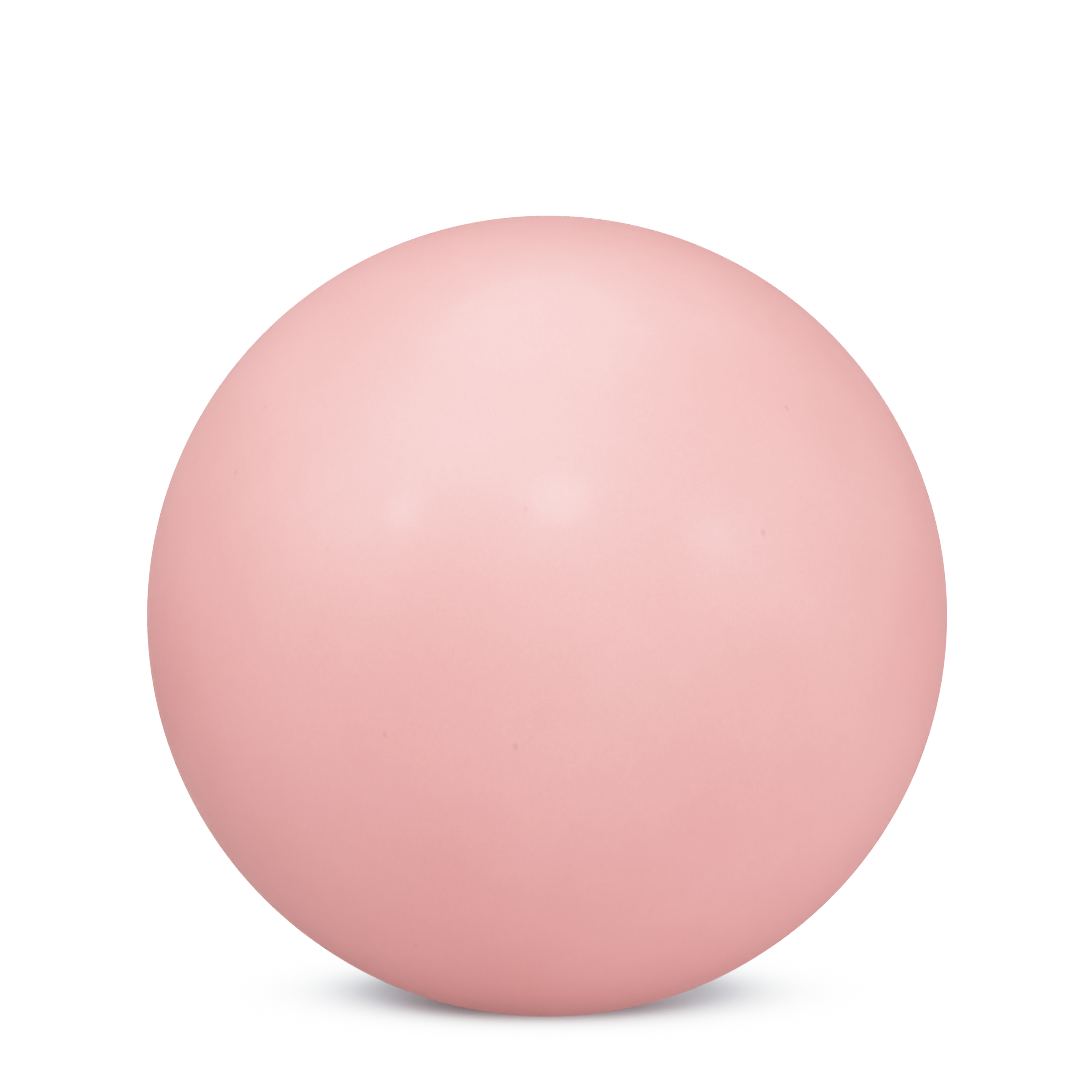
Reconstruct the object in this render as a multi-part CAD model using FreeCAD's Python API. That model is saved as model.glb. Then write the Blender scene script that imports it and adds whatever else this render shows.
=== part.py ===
"""Exercise ball: an inflated one-piece PVC skin, its moulded-in valve sleeve and the push-in air plug.

Frame: origin at the centre of the flat on which the ball rests, +Z up, +Y out through
the valve, +X completing the set. All lengths are in millimetres.

Everything but the resting flat is turned about the valve axis, which runs along Y through the ball's
centre. Depths below are measured inwards along that axis, from the crown of the ball's surface.
"""
import FreeCAD, Part
import math
import os

# Ball
BALL_R = 325.0           # outside radius once inflated
WALL = 0.8               # skin thickness once inflated
REST_FLAT_R = 30.0       # radius of the patch that the ball's own weight flattens
BEAD_HEIGHT = 0.35       # how far the mould's parting bead stands off the skin
BEAD_R = 1.0             # rounding radius of that bead

# Recess, boss and neck that the skin forms round the valve
RECESS_R = 11.5
RECESS_DEPTH = 2.8
RECESS_LIP_R = 0.9       # rounding where the recess meets the ball's surface
BOSS_R = 22.0            # thickened disc on the inside
BOSS_FOOT_R = 31.0       # where the boss has faded into the plain wall
BOSS_DEPTH = 7.0
NECK_R = 9.0             # collar round the sleeve, inside the ball
NECK_ROOT = 2.0          # size of the slope between boss and neck
NECK_DEPTH = 27.0

# Valve sleeve
BORE_R = 4.5
BORE_MOUTH = 0.5         # chamfer that guides the plug in
SLEEVE_R = 6.2
FLANGE_R = 15.0
FLANGE_DEPTH = 4.2       # depth of the flange's outer face, buried in the boss
FLANGE_THICKNESS = 1.2

# Air plug
HEAD_R = 10.4
HEAD_EDGE_R = 0.7        # rounding of the head's rim
HEAD_EDGE_TOP = 0.75     # depth of the rim's top, below the head's crown
PRY_WIDTH = 1.6          # undercut at the rim that a nail or plug tool gets under
PRY_HEIGHT = 0.5
STEM_R = 3.8
RIB_R = 4.45             # ribs as squeezed by the bore
RIB_COUNT = 4
RIB_START = 3.4          # first rib's shoulder, measured from under the head
RIB_PITCH = 4.0
RIB_LAND = 0.7
RIB_RAMP = 2.3
NOSE_LENGTH = 2.2
NOSE_R = 3.1
CORE_R = 2.3             # hollow up the stem from its tip
CORE_LENGTH = 17.0

CENTRE_HEIGHT = math.sqrt(BALL_R ** 2 - REST_FLAT_R ** 2)
INNER_R = BALL_R - WALL
CORNER = math.sqrt(0.5)
AXIS = FreeCAD.Vector(0, 1, 0)
BALL_CENTRE = FreeCAD.Vector(0, 0, 0)


def at(radius, depth):
    """Point in the half-plane that is turned about the valve axis."""
    return FreeCAD.Vector(radius, BALL_R - depth, 0)


def depth_on_sphere(sphere_r, radius):
    """Depth at which a sphere about the ball's centre has the given radius, on the valve's side."""
    return BALL_R - math.sqrt(sphere_r ** 2 - radius ** 2)


def line(start, end):
    return Part.makeLine(start, end)


def lines(*points):
    return [line(a, b) for a, b in zip(points, points[1:])]


def arc(start, middle, end):
    return Part.Arc(start, middle, end).toShape()


def turned(edges):
    """Solid swept by a closed outline about the valve axis."""
    outline = Part.Wire(Part.__sortEdges__(edges))
    return Part.Face(outline).revolve(BALL_CENTRE, AXIS, 360)


def disc(radius, top_depth, bottom_depth):
    """Solid cylinder on the valve axis between two depths."""
    return Part.makeCylinder(radius, bottom_depth - top_depth, at(0, bottom_depth), AXIS)


def above(solid, height):
    """The part of a solid that lies above a level, counted from the floor under the ball."""
    side = 4 * BALL_R
    slab = Part.makeBox(side, side, side, FreeCAD.Vector(-side / 2, -side / 2, height - CENTRE_HEIGHT))
    return solid.common(slab)


def outer_form():
    """The ball's outside, solid: sphere, parting bead and the recess for the plug's head."""
    bead_centre_r = BALL_R + BEAD_HEIGHT - BEAD_R
    foot_r = (BALL_R ** 2 - BEAD_R ** 2 + bead_centre_r ** 2) / (2 * bead_centre_r)
    foot_y = math.sqrt(BALL_R ** 2 - foot_r ** 2)
    front_foot = FreeCAD.Vector(foot_r, -foot_y, 0)
    back_foot = FreeCAD.Vector(foot_r, foot_y, 0)
    bead_top = FreeCAD.Vector(BALL_R + BEAD_HEIGHT, 0, 0)

    lip_r = RECESS_R + RECESS_LIP_R
    lip_depth = depth_on_sphere(BALL_R, lip_r)
    lip_middle = at(lip_r - RECESS_LIP_R * CORNER, lip_depth + RECESS_LIP_R * (1 - CORNER))
    front_pole = FreeCAD.Vector(0, -BALL_R, 0)
    front_middle = FreeCAD.Vector(BALL_R * CORNER, -BALL_R * CORNER, 0)
    back_middle = FreeCAD.Vector(BALL_R * CORNER, BALL_R * CORNER, 0)
    return turned([
        arc(front_pole, front_middle, front_foot),
        arc(front_foot, bead_top, back_foot),
        arc(back_foot, back_middle, at(lip_r, lip_depth)),
        arc(at(lip_r, lip_depth), lip_middle, at(RECESS_R, lip_depth + RECESS_LIP_R)),
        *lines(at(RECESS_R, lip_depth + RECESS_LIP_R), at(RECESS_R, RECESS_DEPTH),
               at(0, RECESS_DEPTH), front_pole),
    ])


def air_space():
    """The inside of the ball, solid: a sphere that steps round the valve's boss and neck."""
    front_pole = FreeCAD.Vector(0, -INNER_R, 0)
    side = FreeCAD.Vector(INNER_R, 0, 0)
    foot = at(BOSS_FOOT_R, depth_on_sphere(INNER_R, BOSS_FOOT_R))
    return turned([
        arc(front_pole, side, foot),
        *lines(foot, at(BOSS_R, BOSS_DEPTH), at(NECK_R + NECK_ROOT, BOSS_DEPTH),
               at(NECK_R, BOSS_DEPTH + NECK_ROOT), at(NECK_R, NECK_DEPTH),
               at(0, NECK_DEPTH), front_pole),
    ])


def sleeve_form():
    """The sleeve without its bore: a tube with a flange that keys it into the boss."""
    tube = disc(SLEEVE_R, RECESS_DEPTH, NECK_DEPTH)
    flange = disc(FLANGE_R, FLANGE_DEPTH, FLANGE_DEPTH + FLANGE_THICKNESS)
    return tube.fuse(flange).removeSplitter()


def make_ball_skin():
    """One-piece skin with its flat at the floor, moulded round the sleeve."""
    shell = above(outer_form(), 0).cut(above(air_space(), WALL))
    return shell.cut(sleeve_form())


def make_valve_sleeve():
    """Sleeve with a straight bore and a chamfered mouth."""
    bore = disc(BORE_R, RECESS_DEPTH, NECK_DEPTH)
    mouth = Part.makeCone(BORE_R, BORE_R + BORE_MOUTH, BORE_MOUTH,
                          at(0, RECESS_DEPTH + BORE_MOUTH), AXIS)
    return sleeve_form().cut(bore).cut(mouth)


def rib_outline():
    """Outline down the stem: each rib has a square shoulder to the head and a ramp to the tip."""
    points = [at(STEM_R, RECESS_DEPTH)]
    for number in range(RIB_COUNT):
        shoulder = RECESS_DEPTH + RIB_START + number * RIB_PITCH
        points += [at(STEM_R, shoulder), at(RIB_R, shoulder), at(RIB_R, shoulder + RIB_LAND),
                   at(STEM_R, shoulder + RIB_LAND + RIB_RAMP)]
    return points


def make_air_plug():
    """Push-in plug: domed head level with the ball's surface, ribbed stem, hollow from the tip."""
    rim_inner_r = HEAD_R - HEAD_EDGE_R
    rim_middle = at(rim_inner_r + HEAD_EDGE_R * CORNER, HEAD_EDGE_TOP + HEAD_EDGE_R * (1 - CORNER))
    rim_side = at(HEAD_R, HEAD_EDGE_TOP + HEAD_EDGE_R)
    half_r = rim_inner_r / 2
    dome_middle = at(half_r, HEAD_EDGE_TOP / 4)
    ribs = rib_outline()
    last = ribs[-1]
    tip_depth = BALL_R - last.y + NOSE_LENGTH
    core_depth = tip_depth - CORE_LENGTH
    return turned([
        arc(at(0, 0), dome_middle, at(rim_inner_r, HEAD_EDGE_TOP)),
        arc(at(rim_inner_r, HEAD_EDGE_TOP), rim_middle, rim_side),
        *lines(rim_side, at(HEAD_R, RECESS_DEPTH - PRY_HEIGHT),
               at(HEAD_R - PRY_WIDTH, RECESS_DEPTH), *ribs,
               at(NOSE_R, tip_depth), at(CORE_R, tip_depth), at(CORE_R, core_depth),
               at(0, core_depth), at(0, 0)),
    ])


PIECES = {
    "ball_skin": make_ball_skin,
    "valve_sleeve": make_valve_sleeve,
    "air_plug": make_air_plug,
}


def main():
    os.makedirs("parts", exist_ok=True)
    for node, make in PIECES.items():
        piece = make()
        piece.translate(FreeCAD.Vector(0, 0, CENTRE_HEIGHT))
        piece.exportStep("parts/%s.step" % node)
        box = piece.optimalBoundingBox()
        print("%-13s solids %d valid %s volume %.0f mm3  x %.2f..%.2f  y %.2f..%.2f  z %.2f..%.2f" % (
            node, len(piece.Solids), piece.isValid(), piece.Volume,
            box.XMin, box.XMax, box.YMin, box.YMax, box.ZMin, box.ZMax))


main()
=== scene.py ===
"""Looks of the exercise ball: a soft pink PVC skin, its valve sleeve and its white air plug.

Everything is in metres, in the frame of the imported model: the ball rests on the floor at z = 0
and its valve faces +Y. Sizes marked "as in the CAD" repeat the CAD model's driving dimensions.
"""
import bpy
import math
from mathutils import Matrix, Vector, noise


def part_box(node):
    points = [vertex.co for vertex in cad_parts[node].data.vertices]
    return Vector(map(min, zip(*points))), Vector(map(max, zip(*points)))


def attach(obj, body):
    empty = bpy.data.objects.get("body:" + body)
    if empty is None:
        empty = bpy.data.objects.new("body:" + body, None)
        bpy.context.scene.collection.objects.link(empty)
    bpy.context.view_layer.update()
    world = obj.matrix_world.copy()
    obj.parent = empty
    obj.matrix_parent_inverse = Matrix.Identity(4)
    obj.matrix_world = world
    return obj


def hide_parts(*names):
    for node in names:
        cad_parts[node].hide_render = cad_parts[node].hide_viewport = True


MM = 0.001

# Skin, as in the CAD
WALL = 0.8 * MM
REST_FLAT_R = 30.0 * MM
RECESS_R = 11.5 * MM
RECESS_DEPTH = 2.8 * MM
BOSS_R = 22.0 * MM
BOSS_FOOT_R = 31.0 * MM
BOSS_DEPTH = 7.0 * MM
NECK_R = 9.0 * MM
NECK_ROOT = 2.0 * MM
NECK_DEPTH = 27.0 * MM
BEAD_HEIGHT = 0.35 * MM

# Sleeve, as in the CAD
BORE_R = 4.5 * MM
BORE_MOUTH = 0.5 * MM
SLEEVE_R = 6.2 * MM
FLANGE_R = 15.0 * MM
FLANGE_DEPTH = 4.2 * MM
FLANGE_THICKNESS = 1.2 * MM

# Plug, as in the CAD
HEAD_R = 10.4 * MM
HEAD_EDGE_TOP = 0.75 * MM
PRY_WIDTH = 1.6 * MM
PRY_HEIGHT = 0.5 * MM
STEM_R = 3.8 * MM
RIB_R = 4.45 * MM
RIB_COUNT = 4
RIB_START = 3.4 * MM
RIB_PITCH = 4.0 * MM
RIB_LAND = 0.7 * MM
RIB_RAMP = 2.3 * MM
NOSE_LENGTH = 2.2 * MM
NOSE_R = 3.1 * MM
CORE_R = 2.3 * MM
CORE_LENGTH = 17.0 * MM

# Fine shape that only the visual model has
LIP_R = 0.9 * MM               # rounding of the recess's lip
BEAD_HALF_WIDTH = 0.9 * MM
WITNESS_R = 24.5 * MM          # ring left by the valve's insert in the mould
WITNESS_HEIGHT = 0.16 * MM
WITNESS_HALF_WIDTH = 0.45 * MM
PUCKER_R = 32.0 * MM           # the skin is drawn in a little round the stiff boss
PUCKER_WIDTH = 9.0 * MM
PUCKER_DEPTH = 0.30 * MM
SWELL = 0.18 * MM              # how unevenly the skin blows up, over long waves
SWELL_WAVES = 2.2              # waves across a radius
SWELL_SEED = Vector((4.1, 0.7, 9.3))
SWELL_FADE = 60.0 * MM         # the swell dies away towards the valve over this distance
BEAD_MEAN = 0.8                # the bead's height, as a share of the CAD's, wanders round the ball
BEAD_WANDER = 0.25
BEAD_WAVES = 6.0
BEAD_SEED = 2.5
SHOULDER = 0.3 * MM            # softness of the edge of the resting flat
GROOVE_R = 7.2 * MM            # shallow ring moulded into the plug's head
GROOVE_HALF_WIDTH = 0.55 * MM
GROOVE_DEPTH = 0.22 * MM
DOME_SHARE = 0.9               # the dome is drawn out to this share of the head's radius
DOME_STEPS = 48
GATE_R = 0.9 * MM              # dimple where the plug was cut off its runner
GATE_RIM_R = 1.15 * MM
GATE_DEPTH = 0.28 * MM

# How finely and how softly the meshes are made
RING_SEGMENTS = 240
SLEEVE_SEGMENTS = 96
FILLET_SHARE = 0.48            # a fillet takes up no more than this share of the sides it joins
RIDGE_FULLNESS = 0.8           # below 1 a ridge is fuller than a cosine's
PLIANT_DEPTH = 6 * WALL        # how far in from its surface the skin gives way to the air
FLOOR_ZONE = 0.9               # the floor can press the skin only below this share of the radius
LIP_START = math.radians(9)    # where the lip's rounding takes over from the ball's slope
LIP_STEPS = 8
INSIDE_RINGS = 64


# ---------------------------------------------------------------- meshes

def rounded(points, steps=4):
    """Profile through (radius, y, fillet) points, each corner replaced by an arc of its fillet radius."""
    path = []
    last = len(points) - 1
    for i, (r, y, fillet) in enumerate(points):
        corner = Vector((r, y))
        if fillet <= 0 or i in (0, last):
            path.append((r, y))
            continue
        back = Vector(points[i - 1][:2]) - corner
        ahead = Vector(points[i + 1][:2]) - corner
        half = back.angle(ahead) / 2
        reach = min(fillet / math.tan(half), FILLET_SHARE * back.length, FILLET_SHARE * ahead.length)
        start = corner + back.normalized() * reach
        end = corner + ahead.normalized() * reach
        for step in range(steps + 1):
            t = step / steps
            bend = start * (1 - t) ** 2 + corner * 2 * t * (1 - t) + end * t ** 2
            path.append((bend.x, bend.y))
    return path


def turn(name, path, segments, closed=False, move=None):
    """Mesh turned about the valve axis. A path that isn't closed starts and ends on the axis.

    move takes a point, measured from the ball's centre, and gives back where it ends up.
    """
    verts, rings = [], []
    for r, y in path:
        if r < 1e-9:
            rings.append([len(verts)])
            verts.append(Vector((0, y, 0)))
            continue
        rings.append(range(len(verts), len(verts) + segments))
        for s in range(segments):
            a = 2 * math.pi * s / segments
            verts.append(Vector((r * math.cos(a), y, r * math.sin(a))))
    if move:
        verts = [move(v) for v in verts]
    faces = []
    pairs = list(zip(rings, rings[1:]))
    if closed:
        pairs.append((rings[-1], rings[0]))
    for a, b in pairs:
        for s in range(segments):
            after = (s + 1) % segments
            if len(a) == 1:
                faces.append((a[0], b[after], b[s]))
            elif len(b) == 1:
                faces.append((a[s], a[after], b[0]))
            else:
                faces.append((a[s], a[after], b[after], b[s]))
    mesh = bpy.data.meshes.new(name)
    mesh.from_pydata([v + CENTRE for v in verts], [], faces)
    mesh.validate()
    piece = bpy.data.objects.new(name, mesh)
    bpy.context.collection.objects.link(piece)
    return piece


def smooth(piece, sharp_angle=math.radians(40)):
    piece.data.shade_smooth()
    piece.data.set_sharp_from_angle(angle=sharp_angle)


def bump_at(distance, half_width):
    """A smooth ridge of height 1 that ends at half_width on either side."""
    if abs(distance) >= half_width:
        return 0.0
    return (0.5 + 0.5 * math.cos(math.pi * distance / half_width)) ** RIDGE_FULLNESS


def spread(start, end, count):
    return [start + (end - start) * i / count for i in range(count)]


def polar_angles():
    """Ring angles from the front pole to the recess's lip, close together at the bead and the valve."""
    bead = BEAD_HALF_WIDTH / BALL_R
    lip = math.asin((RECESS_R + LIP_R) / BALL_R)
    boss = math.asin((PUCKER_R + 1.6 * PUCKER_WIDTH) / BALL_R)
    witness_in = math.asin((WITNESS_R - 2 * WITNESS_HALF_WIDTH) / BALL_R)
    witness_out = math.asin((WITNESS_R + 2 * WITNESS_HALF_WIDTH) / BALL_R)
    quarter = math.pi / 2
    angles, start = [], math.pi
    for end, rings in ((quarter + 3 * bead, 84), (quarter + bead, 4), (quarter - bead, 10),
                       (quarter - 3 * bead, 4), (boss, 74), (witness_out, 12), (witness_in, 10), (lip, 9)):
        angles += spread(start, end, rings)
        start = end
    return angles + [lip]


def skin_path():
    outside = [(BALL_R * math.sin(a), BALL_R * math.cos(a)) for a in polar_angles()]
    outside[0] = (0.0, -BALL_R)
    top = BALL_R
    lip_y = outside[-1][1]
    lip = [(RECESS_R + LIP_R * (1 - math.sin(a)), lip_y - LIP_R * (1 - math.cos(a)))
           for a in spread(LIP_START, math.pi / 2, LIP_STEPS)]
    floor_y = top - RECESS_DEPTH
    pocket = rounded([
        (RECESS_R, lip_y - LIP_R, 0),
        (RECESS_R, floor_y, 0.35 * MM),
        (SLEEVE_R + 0.02 * MM, floor_y, 0.12 * MM),
        (SLEEVE_R, top - FLANGE_DEPTH, 0),
        (FLANGE_R, top - FLANGE_DEPTH, 0),
        (FLANGE_R, top - FLANGE_DEPTH - FLANGE_THICKNESS, 0),
        (SLEEVE_R, top - FLANGE_DEPTH - FLANGE_THICKNESS, 0),
        (SLEEVE_R, top - NECK_DEPTH, 0),
        (NECK_R, top - NECK_DEPTH, 0.6 * MM),
        (NECK_R, top - BOSS_DEPTH - NECK_ROOT, 1.0 * MM),
        (NECK_R + NECK_ROOT, top - BOSS_DEPTH, 1.0 * MM),
        (BOSS_R, top - BOSS_DEPTH, 3.0 * MM),
    ] + [(INNER_R * math.sin(a), INNER_R * math.cos(a), 0)
         for a in spread(math.asin(BOSS_FOOT_R / INNER_R), math.pi, INSIDE_RINGS)])
    return outside + lip + pocket + [(0.0, -INNER_R)]


def lift(v):
    """How far a point of the skin moves outwards: swell, pucker, parting bead and witness ring."""
    distance = v.length
    on_valve_side = v.y > 0
    r = math.hypot(v.x, v.z)
    height = SWELL * noise.noise(v / distance * SWELL_WAVES + SWELL_SEED)
    if on_valve_side and r > RECESS_R:
        height *= min(1.0, (r - RECESS_R) / SWELL_FADE)
        height -= PUCKER_DEPTH * bump_at(r - PUCKER_R, PUCKER_WIDTH)
    elif on_valve_side:
        height = 0.0
    on_outer_face = distance > BALL_R - 0.4 * WALL
    if on_outer_face:
        around = math.atan2(v.z, v.x)
        place = Vector((BEAD_WAVES * math.cos(around), BEAD_WAVES * math.sin(around), BEAD_SEED))
        share = BEAD_MEAN + BEAD_WANDER * noise.noise(place)
        height += BEAD_HEIGHT * share * bump_at(v.y, BEAD_HALF_WIDTH)
        if on_valve_side:
            height += WITNESS_HEIGHT * bump_at(r - WITNESS_R, WITNESS_HALF_WIDTH)
    return height


def pressed(v):
    """The point once the floor has pressed the resting flat, with a soft edge, into the skin."""
    on_inner_face = v.length < BALL_R - 0.5 * WALL
    level = -CENTRE.z + (WALL if on_inner_face else 0.0)
    above = v.z - level
    return Vector((v.x, v.y, level + (above + math.sqrt(above ** 2 + SHOULDER ** 2)) / 2))


def blown_up(v):
    """What inflation and the floor do to a point of the skin. The valve's inner parts stay put."""
    if v.length >= BALL_R - PLIANT_DEPTH:
        v = v + v / v.length * lift(v)
    return pressed(v) if v.z < -FLOOR_ZONE * BALL_R else v


def make_skin():
    skin = turn("ball_skin_pvc", skin_path(), RING_SEGMENTS, move=blown_up)
    smooth(skin)
    return skin


def make_sleeve():
    top = BALL_R
    gap = 0.01 * MM
    path = rounded([
        (BORE_R + BORE_MOUTH, top - RECESS_DEPTH, 0.12 * MM),
        (SLEEVE_R - gap, top - RECESS_DEPTH, 0.15 * MM),
        (SLEEVE_R - gap, top - FLANGE_DEPTH - gap, 0),
        (FLANGE_R - gap, top - FLANGE_DEPTH - gap, 0),
        (FLANGE_R - gap, top - FLANGE_DEPTH - FLANGE_THICKNESS + gap, 0),
        (SLEEVE_R - gap, top - FLANGE_DEPTH - FLANGE_THICKNESS + gap, 0),
        (SLEEVE_R - gap, top - NECK_DEPTH, 0.3 * MM),
        (BORE_R, top - NECK_DEPTH, 0.3 * MM),
        (BORE_R, top - RECESS_DEPTH - BORE_MOUTH, 0.2 * MM),
        (BORE_R + BORE_MOUTH, top - RECESS_DEPTH, 0),
    ])
    sleeve = turn("valve_sleeve_pvc", path[:-1], SLEEVE_SEGMENTS, closed=True)
    smooth(sleeve)
    return sleeve


def make_plug():
    top = BALL_R
    seat = top - RECESS_DEPTH
    edge = top - HEAD_EDGE_TOP
    dome = []
    for s in spread(0, 1, DOME_STEPS):
        r = HEAD_R * DOME_SHARE * s
        groove = GROOVE_DEPTH * bump_at(r - GROOVE_R, GROOVE_HALF_WIDTH)
        if r > 1.1 * GATE_RIM_R:
            dome.append((r, top - HEAD_EDGE_TOP * DOME_SHARE * s * s - groove, 0))
    gate = [(0, top - GATE_DEPTH, 0), (GATE_R, top - GATE_DEPTH, 0.1 * MM),
            (GATE_RIM_R, top - 0.02 * MM, 0.12 * MM)]
    ribs = []
    for number in range(RIB_COUNT):
        shoulder = seat - RIB_START - number * RIB_PITCH
        ribs += [(STEM_R, shoulder, 0.2 * MM), (RIB_R, shoulder, 0.15 * MM),
                 (RIB_R, shoulder - RIB_LAND, 0.2 * MM),
                 (STEM_R, shoulder - RIB_LAND - RIB_RAMP, 0.15 * MM)]
    tip = ribs[-1][1] - NOSE_LENGTH
    path = rounded(gate + dome + [
        (HEAD_R, edge, 0.7 * MM),
        (HEAD_R, seat + PRY_HEIGHT, 0.25 * MM),
        (HEAD_R - PRY_WIDTH, seat, 0.1 * MM),
        (STEM_R, seat, 0.3 * MM),
    ] + ribs + [
        (NOSE_R, tip, 0.35 * MM),
        (CORE_R, tip, 0.25 * MM),
        (CORE_R, tip + CORE_LENGTH, 0.6 * MM),
        (0, tip + CORE_LENGTH, 0),
    ])
    plug = turn("air_plug_ldpe", path, SLEEVE_SEGMENTS)
    smooth(plug)
    return plug


# ---------------------------------------------------------------- materials

class Nodes:
    """A material's node tree with short ways to add and link nodes."""

    def __init__(self, name):
        self.material = bpy.data.materials.new(name)
        self.material.use_nodes = True
        self.tree = self.material.node_tree
        self.shader = self.tree.nodes["Principled BSDF"]
        self.place = self.add("ShaderNodeTexCoord").outputs["Object"]

    def add(self, kind, **settings):
        """A node of that kind, with its settings."""
        node = self.tree.nodes.new(kind)
        for key, value in settings.items():
            setattr(node, key, value)
        return node

    def link(self, source, target):
        self.tree.links.new(source, target)

    def noise(self, scale, detail=2.0, roughness=0.5):
        """Noise with so many waves to the metre."""
        node = self.add("ShaderNodeTexNoise")
        self.link(self.place, node.inputs["Vector"])
        node.inputs["Scale"].default_value = scale
        node.inputs["Detail"].default_value = detail
        node.inputs["Roughness"].default_value = roughness
        return node.outputs["Fac"]

    def ramp(self, source, low, high, to_low=0.0, to_high=1.0):
        """Smooth step of a value from one range to another."""
        node = self.add("ShaderNodeMapRange", interpolation_type="SMOOTHSTEP")
        self.link(source, node.inputs["Value"])
        for key, value in (("From Min", low), ("From Max", high), ("To Min", to_low), ("To Max", to_high)):
            node.inputs[key].default_value = value
        return node.outputs["Result"]

    def mix(self, factor, a, b, blend="MIX"):
        """Mix of two colours. Each input is a number, a colour or another node's output."""
        node = self.add("ShaderNodeMix", data_type="RGBA", blend_type=blend)
        for socket, value in ((node.inputs[0], factor), (node.inputs[6], a), (node.inputs[7], b)):
            if isinstance(value, (int, float)):
                socket.default_value = value
            elif isinstance(value, tuple):
                socket.default_value = value + (1.0,)
            else:
                self.link(value, socket)
        return node.outputs[2]

    def bump(self, height, strength, distance):
        node = self.add("ShaderNodeBump")
        self.link(height, node.inputs["Height"])
        node.inputs["Strength"].default_value = strength
        node.inputs["Distance"].default_value = distance
        return node.outputs["Normal"]

    def set(self, **values):
        """Sets plain numbers and colours on the shader's own sockets."""
        for key, value in values.items():
            self.shader.inputs[key.replace("_", " ")].default_value = value


PINK_DEEP = (0.816, 0.355, 0.347)    # the pigment is cloudy, between these two
PINK_PALE = (0.843, 0.380, 0.372)
PINK_MOTTLE = (0.770, 0.325, 0.318)
MOTTLE_STRENGTH = 0.13
SMUDGE = (0.66, 0.40, 0.36)
SMUDGE_STRENGTH = 0.10
GRAIN_DARK = 0.96
SPECK = (0.42, 0.20, 0.19)
SPECK_STRENGTH = 0.32
SPECK_R = 2.8 * MM
SPECK_SPACING = 48.0 * MM
SPECK_SQUEEZE = (1.0, 1.0, 0.62)     # a speck is this much longer up and down
SHEEN_TINT = (1.0, 0.60, 0.58)
SLEEVE_PINKS = (0.70, 0.33, 0.32), (0.77, 0.38, 0.37)
PLUG_WHITES = (0.66, 0.66, 0.64), (0.73, 0.73, 0.71)


def specks(n):
    """How strongly the dark specks show: one spot, longer up and down, in each Voronoi cell."""
    squeeze = n.add("ShaderNodeMapping")
    n.link(n.place, squeeze.inputs["Vector"])
    squeeze.inputs["Scale"].default_value = SPECK_SQUEEZE
    cells = n.add("ShaderNodeTexVoronoi", feature="F1")
    n.link(squeeze.outputs[0], cells.inputs["Vector"])
    cells.inputs["Scale"].default_value = 1 / SPECK_SPACING
    size = SPECK_R / SPECK_SPACING
    return n.ramp(cells.outputs["Distance"], 0.25 * size, size, SPECK_STRENGTH, 0.0)


def pvc_skin():
    """Satin PVC: a cloudy pigment, fine mottling, the odd dark speck and a soft gloss over it."""
    n = Nodes("pink_pvc")
    clouds = n.ramp(n.noise(7.0, 3.0, 0.5), 0.3, 0.7)
    colour = n.mix(clouds, PINK_DEEP, PINK_PALE)
    mottle = n.ramp(n.noise(110.0, 4.0, 0.65), 0.32, 0.68, 0.0, MOTTLE_STRENGTH)
    colour = n.mix(mottle, colour, PINK_MOTTLE)
    smudge = n.ramp(n.noise(11.0, 2.0, 0.4), 0.62, 0.78, 0.0, SMUDGE_STRENGTH)
    colour = n.mix(smudge, colour, SMUDGE)
    grain = n.ramp(n.noise(620.0, 1.0, 0.5), 0.3, 0.7, GRAIN_DARK, 1.0)
    colour = n.mix(1.0, colour, grain, "MULTIPLY")
    colour = n.mix(specks(n), colour, SPECK)
    n.link(colour, n.shader.inputs["Base Color"])
    n.link(n.ramp(n.noise(45.0, 3.0, 0.6), 0.25, 0.75, 0.42, 0.48), n.shader.inputs["Roughness"])
    n.link(n.bump(n.noise(900.0, 2.0, 0.6), 0.20, 0.2 * MM), n.shader.inputs["Normal"])
    n.set(IOR=1.42, Coat_Weight=0.15, Coat_Roughness=0.16, Sheen_Weight=0.12, Sheen_Roughness=0.3,
          Sheen_Tint=SHEEN_TINT + (1.0,))
    return n.material


def sleeve_pvc():
    """Soft PVC like the skin's, a shade deeper and more matt."""
    n = Nodes("sleeve_pvc")
    n.link(n.mix(n.ramp(n.noise(400.0), 0.3, 0.7), *SLEEVE_PINKS), n.shader.inputs["Base Color"])
    n.link(n.ramp(n.noise(700.0), 0.3, 0.7, 0.42, 0.55), n.shader.inputs["Roughness"])
    n.link(n.bump(n.noise(1500.0), 0.15, 0.1 * MM), n.shader.inputs["Normal"])
    return n.material


def plug_ldpe():
    """Milky white polyethylene that lets a little light in."""
    n = Nodes("plug_ldpe")
    n.link(n.mix(n.ramp(n.noise(300.0), 0.3, 0.7), *PLUG_WHITES), n.shader.inputs["Base Color"])
    n.link(n.ramp(n.noise(600.0), 0.3, 0.7, 0.30, 0.42), n.shader.inputs["Roughness"])
    n.link(n.bump(n.noise(2000.0), 0.15, 0.1 * MM), n.shader.inputs["Normal"])
    n.set(Subsurface_Weight=0.25, Subsurface_Scale=1.0 * MM)
    return n.material


# ---------------------------------------------------------------- stage

BALL_SHARE = 0.3707            # ball's radius as a share of the picture's width
BALL_OFFSET = (0.0064, -0.0685)  # ball's centre from the picture's centre, in picture widths
CAMERA_ELEVATION = math.radians(4.0)
LENS = 85.0
SENSOR = 36.0


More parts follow.
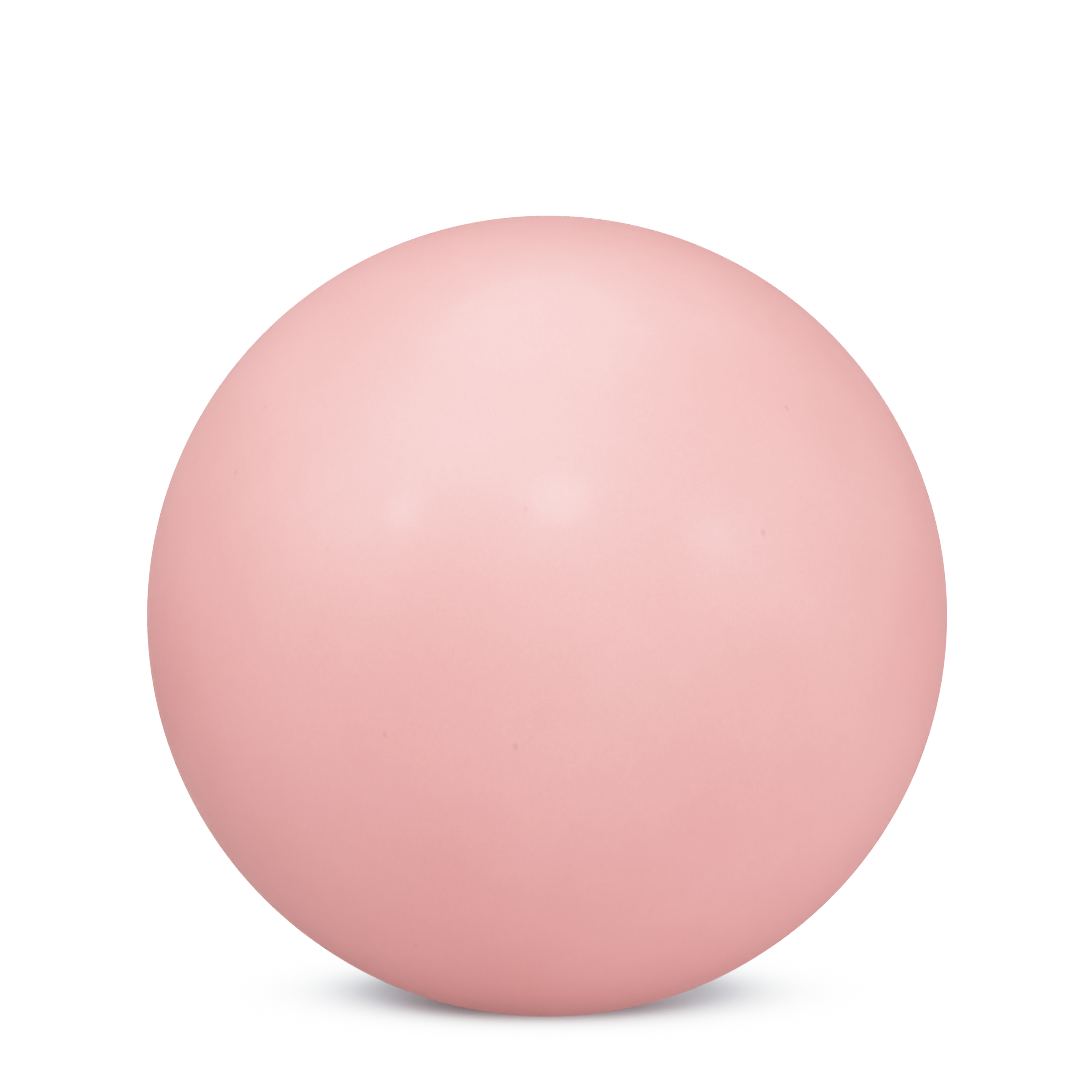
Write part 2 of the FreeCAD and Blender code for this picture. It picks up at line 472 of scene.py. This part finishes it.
def make_camera():
    camera = bpy.data.objects.new("camera", bpy.data.cameras.new("camera"))
    bpy.context.collection.objects.link(camera)
    camera.data.lens = LENS
    camera.data.sensor_width = SENSOR
    half_angle = math.atan(BALL_SHARE * SENSOR / LENS)
    distance = BALL_R / math.sin(half_angle)
    back = Vector((0, -math.cos(CAMERA_ELEVATION), math.sin(CAMERA_ELEVATION)))
    camera.location = CENTRE + back * distance
    turn_right, turn_up = (math.atan(share * SENSOR / LENS) for share in BALL_OFFSET)
    look = (-back).to_track_quat("-Z", "Y").to_matrix().to_4x4()
    aim = look @ Matrix.Rotation(turn_right, 4, "Y") @ Matrix.Rotation(-turn_up, 4, "X")
    camera.rotation_euler = aim.to_euler()
    bpy.context.scene.camera = camera


LIGHTS = {
    # name: (azimuth, elevation, distance, width, height, fill, sheen). Azimuth 0 is the camera's
    # side. fill is the radiance that lights the matt colour, sheen the one that shows as gloss.
    "over_left": (-40, 58, 2.5, 1.6, 1.2, 5.4, 2.7),
    "over_right": (40, 58, 2.5, 1.6, 1.2, 1.8, 0.0),
    "overhead": (0, 86, 2.5, 2.0, 1.6, 0.0, 2.5),
    "over_back": (180, 55, 2.6, 2.0, 1.2, 0.3, 1.3),
    "high_left": (-30, 45, 2.6, 1.0, 0.8, 4.8, 0.0),
    "left_wall": (-55, 32, 2.7, 1.6, 1.4, 4.2, 2.4),
    "right_wall": (58, 26, 2.7, 1.8, 1.6, 1.3, 0.6),
    "left_side": (-100, 30, 2.6, 1.4, 1.6, 0.6, 0.6),
    "right_side": (95, 15, 2.6, 1.6, 1.6, 2.5, 0.45),
    "front_wall": (0, 22, 3.2, 3.4, 2.0, 1.4, 0.0),
    "low_front": (10, 0, 2.8, 2.2, 0.5, 6.0, 0.0),
    "low_right": (55, 4, 2.6, 1.8, 0.9, 4.2, 0.3),
    "behind_left": (-154, 12, 2.6, 2.2, 1.8, 3.6, 0.8),
    "behind_right": (154, 12, 2.6, 2.2, 1.8, 3.4, 0.8),
    "lamp_middle": (3.8, 33.6, 2.4, 0.60, 0.50, 5.7, 15.5),
    "lamp_left": (-41, 27.5, 2.4, 0.25, 0.36, 1.0, 22.0),
    "lamp_right": (46.1, 21.6, 2.4, 0.24, 0.38, 1.0, 21.0),
}


def make_light(name, place, size, radiance):
    """An oval area light that faces the ball's centre."""
    azimuth, elevation, distance = place
    data = bpy.data.lights.new(name, "AREA")
    data.shape = "ELLIPSE"
    data.size, data.size_y = size
    data.energy = radiance * math.pi * size[0] * size[1] * math.pi / 4
    a, e = math.radians(azimuth), math.radians(elevation)
    towards = Vector((math.sin(a) * math.cos(e), -math.cos(a) * math.cos(e), math.sin(e)))
    light = bpy.data.objects.new(name, data)
    bpy.context.collection.objects.link(light)
    light.location = CENTRE + towards * distance
    light.rotation_euler = towards.to_track_quat("Z", "Y").to_euler()
    light.visible_camera = False
    return light


def make_lights():
    """Each light is two in one place: one for the matt colour and one for the gloss."""
    for name, (azimuth, elevation, distance, width, height, fill, sheen) in LIGHTS.items():
        place, size = (azimuth, elevation, distance), (width, height)
        if fill:
            make_light(name + "_fill", place, size, fill).visible_glossy = False
        if sheen:
            make_light(name + "_sheen", place, size, sheen).visible_diffuse = False


WORLD_LIGHT = 0.15             # light from all round
WHITE = 4.0                    # brightness of the seamless white behind the ball
FLOOR_PAINT = (0.34, 0.31, 0.31)     # how it looks to the ball's matt colour
FLOOR_MIRRORED = (0.34, 0.28, 0.28)  # how it looks in the ball's gloss
FLOOR_GLOW = 0.43                    # it is lit a little from below, like a light table
FLOOR_GLOW_TINT = (0.93, 1.0, 1.0)
FLOOR_SHOWN = (0.53, 0.715, 0.775)   # how the camera sees it, cool enough to undo the pink bounce
FLOOR_R = 1.1
FLOOR_SEGMENTS = 64
SHADOW_CENTRE_Y = 0.06         # the floor the camera sees runs out into the seamless white
SHADOW_STRETCH = 1.5           # between two ellipses about this centre, this much shorter along Y
SHADOW_FADE = (0.12, 0.38)
FILM_KNEE = 0.54               # linear light up to here prints as it is, and above it bends to white
FILM_REACH = 6                 # where the bend ends, in units of what is left above the knee
FILM_STEPS = (0, 0.25, 0.5, 0.75, 1, 1.3, 1.6, 2, 2.5, 3, 4, 5)   # its curve's points, in the same units


def seen_or_lit(tree, seen, lit):
    """Mixes two shaders: one for what the camera sees directly, one for how the thing lights others."""
    path = tree.nodes.new("ShaderNodeLightPath")
    mix = tree.nodes.new("ShaderNodeMixShader")
    tree.links.new(path.outputs["Is Camera Ray"], mix.inputs[0])
    tree.links.new(lit, mix.inputs[1])
    tree.links.new(seen, mix.inputs[2])
    return mix.outputs[0]


def make_world():
    world = bpy.data.worlds.new("studio")
    bpy.context.scene.world = world
    world.use_nodes = True
    tree = world.node_tree
    seen = tree.nodes["Background"]
    seen.inputs["Color"].default_value = (1, 1, 1, 1)
    seen.inputs["Strength"].default_value = WHITE
    lit = tree.nodes.new("ShaderNodeBackground")
    lit.inputs["Color"].default_value = (1, 1, 1, 1)
    lit.inputs["Strength"].default_value = WORLD_LIGHT
    both = seen_or_lit(tree, seen.outputs[0], lit.outputs[0])
    tree.links.new(both, tree.nodes["World Output"].inputs["Surface"])


def make_floor():
    """A round pale floor. Away from the ball the camera sees it run into the white behind."""
    rim = [(FLOOR_R * math.cos(a), FLOOR_R * math.sin(a), 0)
           for a in spread(0, 2 * math.pi, FLOOR_SEGMENTS)]
    mesh = bpy.data.meshes.new("floor")
    mesh.from_pydata(rim, [], [tuple(range(FLOOR_SEGMENTS))])
    floor = bpy.data.objects.new("floor", mesh)
    bpy.context.collection.objects.link(floor)
    n = Nodes("floor")
    n.tree.nodes.remove(n.shader)
    paint, near = n.add("ShaderNodeBsdfDiffuse"), n.add("ShaderNodeBsdfDiffuse")
    glow, far = n.add("ShaderNodeEmission"), n.add("ShaderNodeEmission")
    glossy = n.add("ShaderNodeLightPath").outputs["Is Glossy Ray"]
    n.link(n.mix(glossy, FLOOR_PAINT, FLOOR_MIRRORED), paint.inputs["Color"])
    glow.inputs["Color"].default_value = FLOOR_GLOW_TINT + (1.0,)
    n.link(n.ramp(glossy, 0, 1, FLOOR_GLOW, 0), glow.inputs["Strength"])
    lit = n.add("ShaderNodeAddShader")
    n.link(paint.outputs[0], lit.inputs[0])
    n.link(glow.outputs[0], lit.inputs[1])
    near.inputs["Color"].default_value = FLOOR_SHOWN + (1.0,)
    far.inputs["Strength"].default_value = WHITE
    ellipse = n.add("ShaderNodeMapping")
    n.link(n.place, ellipse.inputs["Vector"])
    ellipse.inputs["Location"].default_value = (0, -SHADOW_CENTRE_Y * SHADOW_STRETCH, 0)
    ellipse.inputs["Scale"].default_value = (1, SHADOW_STRETCH, 1)
    radius = n.add("ShaderNodeVectorMath", operation="LENGTH")
    n.link(ellipse.outputs[0], radius.inputs[0])
    seen = n.add("ShaderNodeMixShader")
    n.link(n.ramp(radius.outputs["Value"], *SHADOW_FADE), seen.inputs[0])
    n.link(near.outputs[0], seen.inputs[1])
    n.link(far.outputs[0], seen.inputs[2])
    both = seen_or_lit(n.tree, seen.outputs[0], lit.outputs[0])
    n.link(both, n.tree.nodes["Material Output"].inputs["Surface"])
    mesh.materials.append(n.material)


def make_film():
    """A film's shoulder: highlights bend smoothly to white instead of clipping."""
    view = bpy.context.scene.view_settings
    view.view_transform = "Standard"
    view.use_curve_mapping = True
    rest = 1 - FILM_KNEE
    white_at = FILM_KNEE + FILM_REACH * rest
    film = view.curve_mapping
    film.white_level = (white_at,) * 3
    film.curves[3].points.new(FILM_KNEE / 2 / white_at, FILM_KNEE / 2)
    for over in FILM_STEPS:
        film.curves[3].points.new((FILM_KNEE + over * rest) / white_at, 1 - rest * math.exp(-over))
    film.extend = "HORIZONTAL"
    film.update()


# ---------------------------------------------------------------- the model

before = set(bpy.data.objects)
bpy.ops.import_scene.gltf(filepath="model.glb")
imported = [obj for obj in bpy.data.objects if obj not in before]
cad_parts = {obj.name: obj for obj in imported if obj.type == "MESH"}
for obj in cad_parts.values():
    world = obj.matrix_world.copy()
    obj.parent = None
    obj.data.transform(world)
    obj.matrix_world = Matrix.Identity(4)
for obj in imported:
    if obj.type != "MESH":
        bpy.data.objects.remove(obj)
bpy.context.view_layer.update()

BALL_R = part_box("air_plug")[1][1]          # the plug's crown is level with the ball's surface
CENTRE = Vector((0, 0, math.sqrt(BALL_R ** 2 - REST_FLAT_R ** 2)))
INNER_R = BALL_R - WALL

make_camera()
make_world()
make_floor()
make_film()
make_lights()

for make, material, node, body, slot in (
        (make_skin, pvc_skin, "ball_skin", "ball", "pink_pvc"),
        (make_sleeve, sleeve_pvc, "valve_sleeve", "ball", "sleeve_pvc"),
        (make_plug, plug_ldpe, "air_plug", "plug", "plug_plastic")):
    piece = make()
    piece.data.materials.append(material())
    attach(piece, body)
    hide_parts(node)
